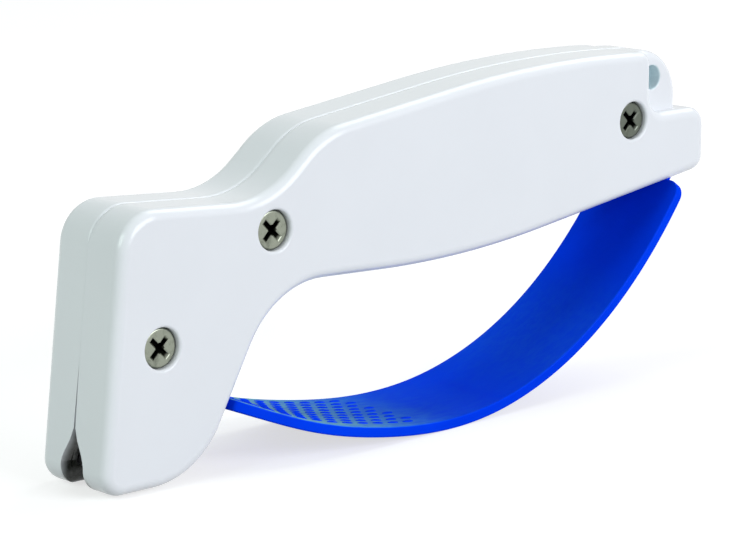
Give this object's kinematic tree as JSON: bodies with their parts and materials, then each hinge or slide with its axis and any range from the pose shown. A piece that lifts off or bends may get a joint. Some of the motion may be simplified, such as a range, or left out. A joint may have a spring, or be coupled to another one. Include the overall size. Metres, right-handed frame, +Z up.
{
  "type": "knife sharpener",
  "caption": "Handheld pull-through carbide knife sharpener: white two-shell handle with a slotted head holding crossed carbide blades and a curved blue finger guard below.",
  "frame": {"origin": "on the standing surface, under the middle of the body, in the plane where the shells meet", "axes": "+X from the slotted head to the tail with the cord hole, +Y from the screw heads' side to the nuts' side, +Z up"},
  "size_m": [0.1384, 0.0252, 0.0595],
  "materials": {
    "white_plastic": "satin white moulded plastic",
    "blue_plastic": "satin saturated blue moulded plastic",
    "nickel": "nickel-plated steel",
    "carbide": "ground dark tungsten carbide"
  },
  "bodies": {
    "handle": {"far_shell": "white_plastic", "finger_guard": "blue_plastic", "nut_front": "nickel", "nut_middle": "nickel", "nut_tail": "nickel"},
    "cover": {"near_shell": "white_plastic"},
    "blade_front": {"carbide_blade_front": "carbide"},
    "blade_rear": {"carbide_blade_rear": "carbide"},
    "screw_front_body": {"screw_front": "nickel"},
    "screw_middle_body": {"screw_middle": "nickel"},
    "screw_tail_body": {"screw_tail": "nickel"}
  },
  "joints": [
    {"name": "cover_lift", "type": "slide", "parent": "handle", "child": "cover", "axis": [0, -1, 0], "range_m": [0, 0.06]},
    {"name": "blade_front_lift", "type": "slide", "parent": "handle", "child": "blade_front", "axis": [0, -1, 0], "range_m": [0, 0.02]},
    {"name": "blade_rear_lift", "type": "slide", "parent": "handle", "child": "blade_rear", "axis": [0, -1, 0], "range_m": [0, 0.04]},
    {"name": "screw_front_turn", "type": "hinge", "parent": "cover", "child": "screw_front_body", "pos_m": [-0.05731, 0, 0.02274], "axis": [0, -1, 0], "continuous": true},
    {"name": "screw_middle_turn", "type": "hinge", "parent": "cover", "child": "screw_middle_body", "pos_m": [-0.03422, 0, 0.03834], "axis": [0, -1, 0], "continuous": true},
    {"name": "screw_tail_turn", "type": "hinge", "parent": "cover", "child": "screw_tail_body", "pos_m": [0.04978, 0, 0.04724], "axis": [0, -1, 0], "continuous": true}
  ],
  "couplings": [
    {"joint": "blade_front_lift", "follows": "cover_lift", "ratio": 0.3333},
    {"joint": "blade_rear_lift", "follows": "cover_lift", "ratio": 0.6666}
  ]
}
